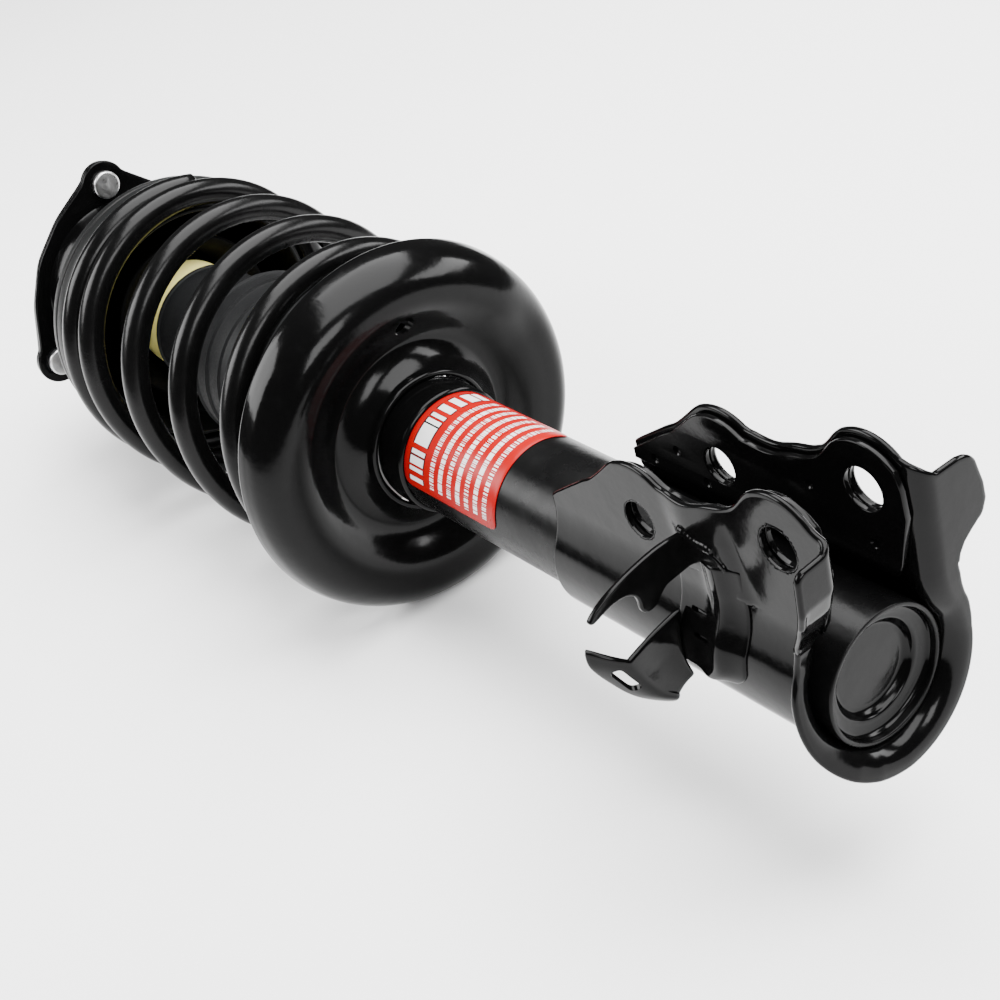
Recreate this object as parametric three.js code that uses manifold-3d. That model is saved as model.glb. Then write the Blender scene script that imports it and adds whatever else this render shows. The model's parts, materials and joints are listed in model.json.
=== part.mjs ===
// Front suspension strut assembly, in millimetres.
// +X runs along the damper towards the knuckle bracket, +Z is the way the bracket's ears stand,
// and the origin is the centre of the flat disc in the tube's lower end cap.
// Strokes and turns: the tube, the bracket and the lower seat stay still, the upper parts move.

import * as THREE from 'three';
import { mergeVertices } from 'three/addons/utils/BufferGeometryUtils.js';
import Module from 'manifold-3d';

const wasm = await Module();
wasm.setup();

// ---------- driving dimensions ----------

const GAP = 0.3;                 // clearance between neighbouring pieces
const ROUND = 24;                // sides of a turned piece
const FINE_ROUND = 36;           // sides of a large turned piece
const SMALL_ROUND = 12;          // sides of a small turned piece

const TUBE_R = 25.5;
const TUBE_WALL = 2;
const TUBE_LIP_X = 8;            // lower end of the tube
const TUBE_TOP_X = -305;
const BASE_DISC_R = 16.5;

const PRESSURE_TUBE_R = 16.4;
const PRESSURE_TUBE_BORE = 15;
const ROD_R = 10;
const ROD_THREAD_R = 7;
const PISTON_X = -262;

const SHEET = 2.7;               // thickness of the bracket's sheet
const WRAP_R = 28.5;             // outside of the bracket where it wraps the tube
const WRAP_TOP_X = -128;         // edge of the wrap nearest the spring
const EAR_INNER_Y = 18.7;
const EAR_OUTER_Y = 21.7;
const PLATE_INNER_Y = 16;        // half of the gap that takes the knuckle
const PLATE_THICKNESS = EAR_INNER_Y - GAP - PLATE_INNER_Y;
const LOWER_HOLE = { x: -8, z: 57.4, r: 8 };
const UPPER_HOLE = { x: -77.6, z: 40.1, r: 7.25 };
const LIP_R = 35;                // flared rim round the lower end
const LIP_X = 13;

const SEAT_RIM_R = 78.4;
const SEAT_RIM_X = -267;
const SEAT_SHEET = 2.8;
const COLLAR_X = [-248, -230];

const COIL_R = 66.5;
const WIRE_R = 6.3;
const COIL_TOP_X = -451;
const COIL_TURNS = [-0.3, 5.1];
const COIL_CLOSED_PITCH = 14;
const COIL_OPEN_PITCH = 46;

const PAD_FACE_X = -460;         // face of the upper pad that the coil sits on
const PAD_R = 71.5;
const MOUNT_FACE_X = -530;       // joint between the two mount plates
const STUD_CIRCLE_R = 55.5;
const STUD_ANGLES = [84, 202, 322];
const STUD_HEAD_R = 7.5;
const STUD_R = 4;
const STUD_END_X = -543;
const ROD_END_X = -566;

// ---------- helpers ----------

const group = new THREE.Group();
const degrees = THREE.MathUtils.degToRad;

function signedVolume(geometry) {
  const p = geometry.getAttribute('position');
  const index = geometry.getIndex();
  const a = new THREE.Vector3();
  const b = new THREE.Vector3();
  const c = new THREE.Vector3();
  let volume = 0;
  for (let i = 0; i < index.count; i += 3) {
    a.fromBufferAttribute(p, index.getX(i));
    b.fromBufferAttribute(p, index.getX(i + 1));
    c.fromBufferAttribute(p, index.getX(i + 2));
    volume += a.dot(b.cross(c)) / 6;
  }
  return volume;
}

// One closed body: shared vertices merged, zero-area triangles dropped, faces pointing out.
function solid(geometry) {
  geometry.deleteAttribute('normal');
  geometry.deleteAttribute('uv');
  const merged = mergeVertices(geometry, 1e-4);
  const source = merged.getIndex().array;
  const kept = [];
  for (let i = 0; i < source.length; i += 3) {
    const [a, b, c] = [source[i], source[i + 1], source[i + 2]];
    if (a !== b && b !== c && a !== c) kept.push(a, b, c);
  }
  merged.setIndex(kept);
  if (signedVolume(merged) < 0) {
    for (let i = 0; i < kept.length; i += 3) [kept[i], kept[i + 1]] = [kept[i + 1], kept[i]];
    merged.setIndex(kept);
  }
  return merged;
}

function toManifold(geometry) {
  const closed = solid(geometry);
  return new wasm.Manifold(new wasm.Mesh({
    numProp: 3,
    vertProperties: new Float32Array(closed.getAttribute('position').array),
    triVerts: new Uint32Array(closed.getIndex().array),
  }));
}

function fromManifold(manifold) {
  const mesh = manifold.getMesh();
  const geometry = new THREE.BufferGeometry();
  geometry.setAttribute('position', new THREE.BufferAttribute(new Float32Array(mesh.vertProperties), 3));
  geometry.setIndex(new THREE.BufferAttribute(new Uint32Array(mesh.triVerts), 1));
  return geometry;
}

// Joins the first list of geometries and cuts the second list out of them.
function combine(joined, cut = []) {
  let result = toManifold(joined[0]);
  for (const piece of joined.slice(1)) result = result.add(toManifold(piece));
  for (const piece of cut) result = result.subtract(toManifold(piece));
  return fromManifold(result);
}

function common(first, second) {
  return fromManifold(toManifold(first).intersect(toManifold(second)));
}

// A profile of [x, radius] points turned about the X axis. A ring's profile closes on itself.
function turned(profile, sides = ROUND, ring = true) {
  const points = profile.map(([x, r]) => new THREE.Vector2(r, x));
  if (ring) points.push(points[0].clone());
  return new THREE.LatheGeometry(points, sides).rotateZ(-Math.PI / 2);
}

// A round bar or hole along X, from x0 to x1, centred on (y, z).
function barX(x0, x1, r, y = 0, z = 0, sides = SMALL_ROUND) {
  const bar = new THREE.CylinderGeometry(r, r, x1 - x0, sides).rotateZ(-Math.PI / 2);
  return bar.translate((x0 + x1) / 2, y, z);
}

// A ring along X with a round bore.
function ringX(x0, x1, inner, outer, sides = ROUND) {
  return turned([[x0, inner], [x0, outer], [x1, outer], [x1, inner]], sides);
}

// A hexagonal nut along X with a round bore.
function hexNutX(x0, x1, acrossFlats, bore) {
  const hexagon = barX(x0, x1, acrossFlats / Math.sqrt(3), 0, 0, 6);
  return combine([hexagon], [barX(x0 - 1, x1 + 1, bore)]);
}

// A flat shape drawn in X and Z, from y0 to y1.
function slabY(shape, y0, y1, curveSegments = 4) {
  const slab = new THREE.ExtrudeGeometry(shape, { depth: y1 - y0, bevelEnabled: false, curveSegments });
  return slab.rotateX(Math.PI / 2).translate(0, y1, 0);
}

// A flat shape drawn in Y and Z, from x0 to x1.
function slabX(shape, x0, x1, curveSegments = 5) {
  const slab = new THREE.ExtrudeGeometry(shape, { depth: x1 - x0, bevelEnabled: false, curveSegments });
  return slab.rotateY(Math.PI / 2).rotateX(Math.PI / 2).translate(x0, 0, 0);
}

function outline(points) {
  return new THREE.Shape(points.map(([a, b]) => new THREE.Vector2(a, b)));
}

const paints = {
  glossBlack: { color: 0x0a0a0b, roughness: 0.18, metalness: 0.0 },
  satinBlack: { color: 0x101011, roughness: 0.38, metalness: 0.0 },
  springBlack: { color: 0x0b0b0c, roughness: 0.28, metalness: 0.0 },
  zinc: { color: 0xb9bcc0, roughness: 0.35, metalness: 1.0 },
  blackZinc: { color: 0x1c1c1e, roughness: 0.4, metalness: 0.8 },
  chrome: { color: 0xd8dadc, roughness: 0.08, metalness: 1.0 },
  steel: { color: 0x8d9094, roughness: 0.4, metalness: 1.0 },
  blackRubber: { color: 0x161616, roughness: 0.7, metalness: 0.0 },
  greyRubber: { color: 0x4a4c4c, roughness: 0.75, metalness: 0.0 },
  creamFoam: { color: 0xe9e2b4, roughness: 0.8, metalness: 0.0 },
  redFilm: { color: 0xd0202a, roughness: 0.3, metalness: 0.0 },
  racePlastic: { color: 0x2a2a2b, roughness: 0.5, metalness: 0.0 },
};

function addPart(name, geometry, paint) {
  const mesh = new THREE.Mesh(solid(geometry), new THREE.MeshStandardMaterial(paints[paint]));
  mesh.name = name;
  group.add(mesh);
}

// ---------- damper: outer tube and everything inside it ----------

function addDamperTube() {
  const tube = ringX(TUBE_TOP_X, TUBE_LIP_X, TUBE_R - TUBE_WALL, TUBE_R, FINE_ROUND);
  addPart('reservoir_tube', tube, 'satinBlack');

  const fit = TUBE_R - TUBE_WALL - GAP;
  const cap = [
    [0, 0], [0, BASE_DISC_R], [3, BASE_DISC_R + 1.1], [5, fit],
    [0.5, fit], [-3, fit - 4], [-3, 0],
  ];
  addPart('tube_base_cap', turned(cap, ROUND, false), 'glossBlack');

  const skirtR = TUBE_R + GAP;
  const topCap = [
    [-297, skirtR], [-297, skirtR + 1.5], [-307, skirtR + 1.5],
    [-307, ROD_R + GAP + 0.5], [TUBE_TOP_X - GAP, ROD_R + GAP + 0.5], [TUBE_TOP_X - GAP, skirtR],
  ];
  addPart('tube_top_cap', turned(topCap), 'glossBlack');
}

function addDamperInside() {
  const tubeBore = TUBE_R - TUBE_WALL - GAP;
  const valve = [
    [-3.3, 0], [-3.3, 18], [-9.7, 18],
    [-9.7, PRESSURE_TUBE_BORE - GAP], [-16, PRESSURE_TUBE_BORE - GAP], [-16, 0],
  ];
  addPart('base_valve', turned(valve, ROUND, false), 'steel');
  addPart('pressure_tube', ringX(-284.7, -10, PRESSURE_TUBE_BORE, PRESSURE_TUBE_R), 'steel');
  addPart('rod_guide', ringX(-297, -285, ROD_R + GAP, tubeBore), 'steel');
  addPart('rod_seal', ringX(-304, -297.3, ROD_R + GAP, tubeBore), 'blackRubber');
}

function addPistonAndRod() {
  const threadTop = -511;
  const rod = [
    [-238, 0], [-238, ROD_THREAD_R], [PISTON_X, ROD_THREAD_R], [PISTON_X, ROD_R],
    [threadTop, ROD_R], [threadTop, ROD_THREAD_R], [ROD_END_X, ROD_THREAD_R], [ROD_END_X, 0],
  ];
  addPart('piston_rod', turned(rod, ROUND, false), 'chrome');
  const bore = ROD_THREAD_R + GAP;
  addPart('piston', ringX(PISTON_X + GAP, -246, bore, PRESSURE_TUBE_BORE - GAP), 'steel');
  addPart('piston_nut', hexNutX(-245.7, -239, 18, bore), 'steel');
  addPart('rebound_stop', ringX(-281, -272, ROD_R + GAP, 13.5), 'blackRubber');
}

// ---------- knuckle bracket ----------

// Side view of an ear in X and Z. inset moves the edge in, as on the plate inside the ear.
function earOutline(inset, floorZ) {
  const shape = new THREE.Shape();
  const arc = (hole, radius, from, to) => {
    shape.absarc(hole.x, hole.z, radius - inset, degrees(from), degrees(to), true);
  };
  shape.moveTo(WRAP_TOP_X + inset, floorZ);
  shape.lineTo(WRAP_TOP_X + inset, 29.7 - inset);
  shape.lineTo(-107, 44 - inset);
  arc(UPPER_HOLE, 21.3, 118, 55);
  shape.quadraticCurveTo(-60, 56.7 - inset, -52, 56.7 - inset);
  shape.lineTo(-38, 60.6 - inset);
  shape.quadraticCurveTo(-29, 62.5 - inset, -24, 66 - inset);
  arc(LOWER_HOLE, 19, 125, 42);
  shape.lineTo(11 - inset, 66);
  shape.lineTo(12.4 - inset, 52.5);
  shape.lineTo(6.2 - inset, 30.9);
  shape.lineTo(2 - inset, floorZ);
  return shape;
}

function earHoles() {
  return [LOWER_HOLE, UPPER_HOLE].map(({ x, z, r }) => {
    return new THREE.CylinderGeometry(r, r, 60, SMALL_ROUND + 4).translate(x, 0, z);
  });
}

// The wrap's cross-section: an open circle round the tube that runs up into both ears.
function wrapSection(top) {
  const innerR = WRAP_R - SHEET;
  const outerAngle = Math.acos(EAR_OUTER_Y / WRAP_R);
  const innerAngle = Math.acos(EAR_INNER_Y / innerR);
  const shape = new THREE.Shape();
  shape.moveTo(EAR_INNER_Y, top);
  shape.lineTo(EAR_OUTER_Y, top);
  shape.absarc(0, 0, WRAP_R, outerAngle, Math.PI - outerAngle, true);
  shape.lineTo(-EAR_OUTER_Y, top);
  shape.lineTo(-EAR_INNER_Y, top);
  shape.absarc(0, 0, innerR, Math.PI - innerAngle, innerAngle, false);
  return shape;
}

function addKnuckleBracket() {
  const earTop = 80;
  const lipStart = 0;
  const section = slabX(wrapSection(earTop), WRAP_TOP_X, 14, 9);
  const sideView = earOutline(0, -40);
  const body = common(section, slabY(sideView, -30, 30));
  const lip = turned([
    [lipStart - 2, WRAP_R - SHEET], [lipStart + 1, WRAP_R - SHEET], [LIP_X - 1, LIP_R - 3.5],
    [LIP_X, LIP_R], [LIP_X - 2.5, LIP_R], [lipStart - 2, WRAP_R],
  ], FINE_ROUND);
  const lipOpening = new THREE.BoxGeometry(30, 2 * EAR_INNER_Y, 40).translate(5, 0, 35);
  const farFlange = outline([
    [19, 68], [24.6, 64], [39, 63.7], [44, 59.6], [47, 43.3], [41.2, 37],
    [34, 31], [31.5, 24], [33, 8], [28.5, 4], [25.5, 14], [19, 20],
  ]);
  const nearFlange = outline([
    [-19, 63], [-34, 65], [-34.5, 50], [-33, 40], [-31, 20], [-31, 10], [-28.5, 4], [-25.5, 14], [-19, 20],
  ]);
  const openLip = combine([lip], [lipOpening]);
  const flanges = [slabX(farFlange, 7.5, 10.5), slabX(nearFlange, 7.5, 10.5)];
  addPart('knuckle_bracket', combine([body, openLip, ...flanges], earHoles()), 'glossBlack');
}

function addEarPlates() {
  const plateFloorZ = TUBE_R + 0.5;    // the knuckle's boss rests on the plates, clear of the tube
  const shape = earOutline(1.2, plateFloorZ);
  const near = slabY(shape, -PLATE_INNER_Y - PLATE_THICKNESS, -PLATE_INNER_Y);
  const far = slabY(shape, PLATE_INNER_Y, PLATE_INNER_Y + PLATE_THICKNESS);
  addPart('ear_plate_near', combine([near], earHoles()), 'glossBlack');
  addPart('ear_plate_far', combine([far], earHoles()), 'glossBlack');
}

// ---------- hose and wire brackets on the near side ----------

function addHoseBracket() {
  const face = -EAR_OUTER_Y - GAP;
  const root = new THREE.BoxGeometry(20, 2.4, 12).translate(-46, face - 1.2, 40);
  const arm = outline([
    [face, 45.5], [-30, 47], [-38, 46.5], [-50, 45], [-63, 43], [-64, 41],
    [-55, 40], [-45, 37], [-44, 31], [-36, 30], [-30, 33], [face, 35],
  ]);
  addPart('hose_bracket', combine([root, slabX(arm, -54, -51.6)]), 'glossBlack');
}

function addWireBracket() {
  const inner = WRAP_R + GAP;
  const outer = inner + 2.4;
  const saddle = new THREE.Shape();
  saddle.absarc(0, 0, outer, degrees(142), degrees(190), false);
  saddle.absarc(0, 0, inner, degrees(190), degrees(142), true);
  const wing = outline([
    [-26.8, 14.2], [-33, 17], [-37, 14.4], [-42, 12.5], [-48, 9.8], [-53, 8.9], [-59, 15],
    [-62.5, 16.5], [-63, 14], [-58, 3.7], [-53, -3], [-47.5, -9.7], [-42, -14.8],
    [-37.5, -18.5], [-33, -17.5], [-28, -11.5], [-30.2, 0],
  ]);
  const slot = outline([[-58.4, 8], [-55.2, 8.4], [-49.6, -3], [-52.4, -4]]);
  const plate = combine([slabX(wing, -58, -55.6)], [slabX(slot, -60, -54)]);
  addPart('wire_bracket', combine([slabX(saddle, -58, -28), plate]), 'glossBlack');
}

// ---------- lower spring seat, coil and label ----------

function addLowerSeat() {
  const collar = ringX(COLLAR_X[0], COLLAR_X[1], TUBE_R + GAP, TUBE_R + 2, FINE_ROUND);
  addPart('seat_collar', collar, 'glossBlack');

  const neckR = TUBE_R + 2 + GAP;
  const outside = [
    [-247, neckR], [-251, 29.5], [-256, 34], [-259, 42], [-254, 52], [-249.5, 60],
    [-251, 69], [-258, 76.5], [SEAT_RIM_X, SEAT_RIM_R],
  ];
  const inside = outside.slice(1).reverse().map(([x, r]) => {
    const bend = r > 72 ? SEAT_SHEET : 0;
    const drop = r > 72 ? 0 : SEAT_SHEET;
    return [x - drop, r - bend];
  });
  inside.push([-252, neckR]);
  const dish = turned([...outside, ...inside], FINE_ROUND);
  const drain = barX(-270, -240, 4, 10.3, 47.9);
  addPart('spring_seat_lower', combine([dish], [drain]), 'glossBlack');

  const pad = [[-254.6, 59], [-257.8, 59], [-257.8, 71], [-256.3, 71], [-254.6, 68.5]];
  addPart('spring_pad_lower', turned(pad, FINE_ROUND), 'blackRubber');
}

// The coil's pitch per turn: closed at both ends, open between, and almost flat at its very tip.
function coilPitch(turn) {
  const open = COIL_OPEN_PITCH - COIL_CLOSED_PITCH;
  const rise = THREE.MathUtils.smoothstep(turn, 0.55, 1.15);
  const fall = THREE.MathUtils.smoothstep(turn, 4.05, 4.7);
  const tip = THREE.MathUtils.smoothstep(-turn, 0, -COIL_TURNS[0]);
  return COIL_CLOSED_PITCH * (1 - 0.86 * tip) + open * (rise - fall);
}

class CoilCurve extends THREE.Curve {
  constructor(firstTurn, lastTurn) {
    super();
    this.firstTurn = firstTurn;
    this.lastTurn = lastTurn;
    this.arcLengthDivisions = 400;
  }

  // Turn 0 is on the near side of the axis, at COIL_TOP_X.
  getPoint(t, target = new THREE.Vector3()) {
    const turn = THREE.MathUtils.lerp(this.firstTurn, this.lastTurn, t);
    const slices = 60;
    let x = COIL_TOP_X;
    for (let i = 0; i < slices; i += 1) x += coilPitch(turn * (i + 0.5) / slices) * turn / slices;
    const angle = Math.PI + 2 * Math.PI * turn;
    return target.set(x, COIL_R * Math.cos(angle), COIL_R * Math.sin(angle));
  }
}

function addCoilSpring() {
  const section = new THREE.Shape();
  section.absarc(0, 0, WIRE_R, 0, 2 * Math.PI, false);
  const coil = new THREE.ExtrudeGeometry(section, {
    steps: 87, curveSegments: 4, extrudePath: new CoilCurve(...COIL_TURNS),
  });
  addPart('coil_spring', coil, 'springBlack');
}

function addTubeLabel() {
  const film = new THREE.Shape();
  const inner = TUBE_R + 0.15;
  film.absarc(0, 0, inner + 0.25, degrees(48), degrees(180), false);
  film.absarc(0, 0, inner, degrees(180), degrees(48), true);
  addPart('tube_label', slabX(film, -229.5, -168, 9), 'redFilm');
}

// ---------- upper spring seat and bearing ----------

function addUpperSeat() {
  const back = PAD_FACE_X - 8;
  const pad = [
    [PAD_FACE_X, PAD_R], [PAD_FACE_X, 59], [-442, 58.6], [-442, 56.6], [back, 56.6],
    [back, 64.5], [-476, 64.5], [-476, PAD_R - 2.5],
  ];
  addPart('spring_pad_upper', turned(pad, FINE_ROUND), 'greyRubber');

  const face = back - GAP;
  const hubFlare = [[-466, 31.6], [-456, 38.5], [-456, 41], [-467, 34]];
  const cup = [
    [face, 52], [face, 64.2], [face - 2.5, 64.2], [face - 2.5, 54.5], [-490, 50],
    [-494.5, 46], [-494.5, 31.6], ...hubFlare, [-492, 34], [-492, 45], [-488, 48],
  ];
  addPart('spring_seat_upper', turned(cup, FINE_ROUND), 'glossBlack');
  addPart('bearing_race_lower', ringX(-500.5, -494.8, 32, 46), 'racePlastic');
}

function addBearingTop() {
  addPart('bearing_cage', ringX(-504, -500.8, 36, 42), 'zinc');
  addPart('bearing_race_upper', ringX(-510, -504.3, 32, 46), 'racePlastic');
}

// ---------- bump stop and dust boot ----------

function addBumpStop() {
  const bore = ROD_R + GAP;
  const stop = [
    [-398, bore], [-398, 24], [-401, 28], [-464, 27.4], [-470, 22], [-505, 22], [-505, bore],
  ];
  addPart('bump_stop', turned(stop), 'creamFoam');

  const wall = 1.6;
  const boot = [[-438, 30.2], [-408, 30.6], [-398, 34], [-384, 40.5], [-350, 41.5], [-296, 41.5]];
  const liner = boot.slice().reverse().map(([x, r]) => [x, r - wall]);
  addPart('dust_boot', turned([...boot, ...liner]), 'blackRubber');
}

// ---------- top mount ----------

// Plate outline in Y and Z: a lobe round each stud, waisted between them.
function mountOutline(lobeR, waistR) {
  const shape = new THREE.Shape();
  const corner = (radius, angle) => [radius * Math.cos(degrees(angle)), radius * Math.sin(degrees(angle))];
  STUD_ANGLES.forEach((angle, i) => {
    const [y, z] = corner(STUD_CIRCLE_R, angle);
    const next = STUD_ANGLES[(i + 1) % STUD_ANGLES.length] + (i === STUD_ANGLES.length - 1 ? 360 : 0);
    shape.absarc(y, z, lobeR, degrees(angle - 78), degrees(angle + 78), false);
    const middle = corner(waistR, (angle + next) / 2);
    shape.lineTo(...middle);
  });
  return shape;
}

function studPlaces() {
  return STUD_ANGLES.map((angle) => {
    return [STUD_CIRCLE_R * Math.cos(degrees(angle)), STUD_CIRCLE_R * Math.sin(degrees(angle))];
  });
}

function studHoles(x0, x1) {
  return studPlaces().map(([y, z]) => barX(x0, x1, STUD_R + GAP, y, z));
}

function addMountPlates() {
  const sheet = 2.7;
  const inner = MOUNT_FACE_X + sheet;
  const lobeR = 12;
  const waistR = 53;
  const dish = turned([
    [MOUNT_FACE_X, 44], [-513, 40], [-513, 26], [-510.3, 26],
    [-510.3, 42], [inner, 46.8], [inner, 56], [MOUNT_FACE_X, 56],
  ]);
  const middle = (radius) => barX(-540, -520, radius, 0, 0, ROUND);
  const lobes = combine([slabX(mountOutline(lobeR, waistR), MOUNT_FACE_X, inner)], [middle(waistR)]);
  addPart('mount_plate_inner', combine([dish, lobes], studHoles(-540, -520)), 'glossBlack');

  const outer = MOUNT_FACE_X - GAP;
  const dome = turned([
    [outer, 43], [outer - 14, 36.5], [outer - 17, 21], [outer - 20, 21], [outer - 17, 38],
    [outer - sheet, 45.6], [outer - sheet, 56], [outer, 56],
  ]);
  const top = combine([slabX(mountOutline(lobeR, waistR), outer - sheet, outer)], [middle(46.5)]);
  addPart('mount_plate_outer', combine([dome, top], studHoles(-545, -520)), 'glossBlack');
}

function addMountCentre() {
  const sleeveR = 11.5;
  const bore = ROD_THREAD_R + GAP;
  addPart('mount_sleeve', ringX(-546, -511.3, bore, sleeveR), 'steel');
  const rubber = [
    [-513.6, sleeveR + GAP], [-513.6, 39], [-529.6, 42.4], [-542, 35], [-545, 20], [-545, sleeveR + GAP],
  ];
  addPart('mount_rubber', turned(rubber), 'blackRubber');
  addPart('rod_washer', ringX(-549, -546.3, bore, 17), 'zinc');
  addPart('rod_nut', hexNutX(-560, -549.3, 22, bore), 'blackZinc');
}

function addStudsAndNuts() {
  const headFace = MOUNT_FACE_X + 2.7 + GAP;
  const nutFace = MOUNT_FACE_X - 3 - GAP;
  studPlaces().forEach(([y, z], i) => {
    const head = barX(headFace, headFace + 3.2, STUD_HEAD_R, y, z);
    const shank = barX(STUD_END_X, headFace + 1, STUD_R, y, z);
    addPart(`mount_stud_${i + 1}`, combine([head, shank]), 'zinc');

    const flange = barX(nutFace - 2, nutFace, 9, y, z, 20);
    const hexagon = barX(nutFace - 8, nutFace - 1, 13 / Math.sqrt(3), y, z, 6);
    const bore = barX(nutFace - 9, nutFace + 1, STUD_R + GAP, y, z);
    addPart(`flange_nut_${i + 1}`, combine([flange, hexagon], [bore]), 'blackZinc');
  });
}

addDamperTube();
addDamperInside();
addPistonAndRod();
addKnuckleBracket();
addEarPlates();
addHoseBracket();
addWireBracket();
addLowerSeat();
addCoilSpring();
addTubeLabel();
addUpperSeat();
addBearingTop();
addBumpStop();
addMountPlates();
addMountCentre();
addStudsAndNuts();

export default group;
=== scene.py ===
import json
import math

import bmesh
import bpy
import numpy as np
from mathutils import Matrix, Vector, noise


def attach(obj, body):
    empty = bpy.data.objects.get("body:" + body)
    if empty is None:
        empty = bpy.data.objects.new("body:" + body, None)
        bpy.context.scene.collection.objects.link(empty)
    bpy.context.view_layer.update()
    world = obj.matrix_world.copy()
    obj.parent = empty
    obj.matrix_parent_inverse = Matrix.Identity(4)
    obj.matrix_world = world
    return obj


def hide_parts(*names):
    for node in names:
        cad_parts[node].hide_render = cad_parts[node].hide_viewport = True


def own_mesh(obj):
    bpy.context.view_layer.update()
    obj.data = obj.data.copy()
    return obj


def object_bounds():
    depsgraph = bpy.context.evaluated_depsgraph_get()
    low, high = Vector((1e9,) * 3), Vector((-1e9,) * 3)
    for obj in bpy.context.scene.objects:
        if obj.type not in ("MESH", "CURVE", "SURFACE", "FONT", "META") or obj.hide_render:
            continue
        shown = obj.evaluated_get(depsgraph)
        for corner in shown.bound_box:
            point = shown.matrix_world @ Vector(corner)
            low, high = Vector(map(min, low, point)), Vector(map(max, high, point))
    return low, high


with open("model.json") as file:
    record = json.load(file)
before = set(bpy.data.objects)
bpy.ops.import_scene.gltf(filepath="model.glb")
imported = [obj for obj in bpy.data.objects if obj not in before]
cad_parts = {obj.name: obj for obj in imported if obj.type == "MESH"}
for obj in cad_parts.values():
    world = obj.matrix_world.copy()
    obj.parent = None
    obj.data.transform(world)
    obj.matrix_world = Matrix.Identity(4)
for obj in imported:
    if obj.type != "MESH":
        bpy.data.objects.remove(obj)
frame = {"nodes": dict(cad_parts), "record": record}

# Lengths in this script are millimetres in the part's own frame, and MM turns them into metres.
MM = 0.001
CAD_BOX = [list(corner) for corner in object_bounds()]

# ---------- driving dimensions, as in the CAD model ----------

TUBE_R = 25.5
TUBE_WALL = 2.0
TUBE_LIP_X = 8.0
TUBE_TOP_X = -305.0

WRAP_MID_R = 27.15                # middle of the bracket's sheet
WRAP_SHEET = 2.6
WRAP_TOP_X = -128.0
EAR_MID_Y = 20.2
EAR_PLATE_Y = (16.0, 18.4)
LOWER_HOLE = (-8.0, 57.4, 8.0)    # x, z and radius of the bolt holes
UPPER_HOLE = (-77.6, 40.1, 7.25)

SEAT_SHEET = 2.8
DRAIN_R = 4.4
DRAIN_AT = (5.0, 51.0)            # y and z of the drain hole
COIL_R = 66.5
WIRE_R = 6.3
COIL_TOP_X = -451.0
COIL_TURNS = (-0.3, 5.1)
COIL_PITCH = (14.0, 46.0)         # closed and open

PAD_FACE_X = -460.0
MOUNT_FACE_X = -530.0
STUD_CIRCLE_R = 55.5
STUD_ANGLES = (84, 202, 322)
ROD_R = 10.0
ROD_THREAD_R = 7.0
ROD_X = (-566.0, -238.0)
BUMP_STOP_X = (-505.0, -398.0)
BOOT_X = (-438.0, -296.0)
BOOT_FIRST_RIB_X = -380.0
STUD_END_X = -543.0


# ---------- materials ----------

class Nodes:
    """A short way to write a node tree: each call adds one node and returns its output."""

    def __init__(self, name):
        self.material = bpy.data.materials.new(name)
        self.material.use_nodes = True
        self.tree = self.material.node_tree
        self.shader = self.tree.nodes["Principled BSDF"]
        self.coords = self.tree.nodes.new("ShaderNodeTexCoord").outputs["Object"]

    def add(self, kind, inputs=(), output=0, **settings):
        node = self.tree.nodes.new("ShaderNode" + kind)
        for key, value in settings.items():
            setattr(node, key, value)
        for key, value in dict(inputs).items():
            self.put(node.inputs[key], value)
        return node.outputs[output]

    def put(self, socket, value):
        if isinstance(value, bpy.types.NodeSocket):
            self.tree.links.new(value, socket)
        else:
            socket.default_value = value

    def math(self, operation, a, b=0.0, c=0.0):
        return self.add("Math", {0: a, 1: b, 2: c}, operation=operation)

    def noise(self, scale, detail=3.0, rough=0.5, vector=None):
        inputs = {"Vector": vector or self.coords, "Scale": scale, "Detail": detail, "Roughness": rough}
        return self.add("TexNoise", inputs)

    def ramp(self, value, low, high, out_low, out_high):
        inputs = {0: value, 1: low, 2: high, 3: out_low, 4: out_high}
        return self.add("MapRange", inputs, clamp=True)

    def mix(self, factor, a, b):
        node = self.tree.nodes.new("ShaderNodeMix")
        node.data_type = "RGBA"
        self.put(node.inputs["Factor"], factor)
        self.put(node.inputs["A"], a)
        self.put(node.inputs["B"], b)
        return node.outputs["Result"]

    def bump(self, height, strength, distance, normal=None):
        inputs = {"Height": height, "Strength": strength, "Distance": distance}
        if normal:
            inputs["Normal"] = normal
        return self.add("Bump", inputs)

    def set(self, **sockets):
        for key, value in sockets.items():
            self.put(self.shader.inputs[key.replace("_", " ")], value)


def grey(value, tint=(1.0, 1.0, 1.0)):
    return (value * tint[0], value * tint[1], value * tint[2], 1.0)


def black_paint(name, base, roughness, peel, shine):
    """Black enamel: dark colour that drifts a little, soft orange peel and dust in patches."""
    n = Nodes(name)
    patches = n.noise(22.0, 4.0, 0.6)
    dust = n.ramp(n.noise(160.0, 5.0, 0.7), 0.52, 0.8, 0.0, 1.0)
    tone = n.mix(patches, grey(base * 0.7), grey(base * 1.25, (1.0, 1.0, 1.04)))
    n.set(Base_Color=n.mix(n.math("MULTIPLY", dust, 0.22), tone, grey(base * 3.2)))
    rough = n.ramp(patches, 0.35, 0.7, roughness * 0.82, roughness * 1.25)
    n.set(Roughness=n.math("ADD", rough, n.math("MULTIPLY", dust, 0.06)))
    waves = n.noise(75.0, 2.0, 0.5)
    fine = n.noise(520.0, 2.0, 0.5)
    soft = n.bump(waves, 0.05 * peel, 0.004)
    n.set(Normal=n.bump(fine, 0.03 * peel, 0.001, soft))
    n.set(Specular_IOR_Level=shine)
    return n.material


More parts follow.
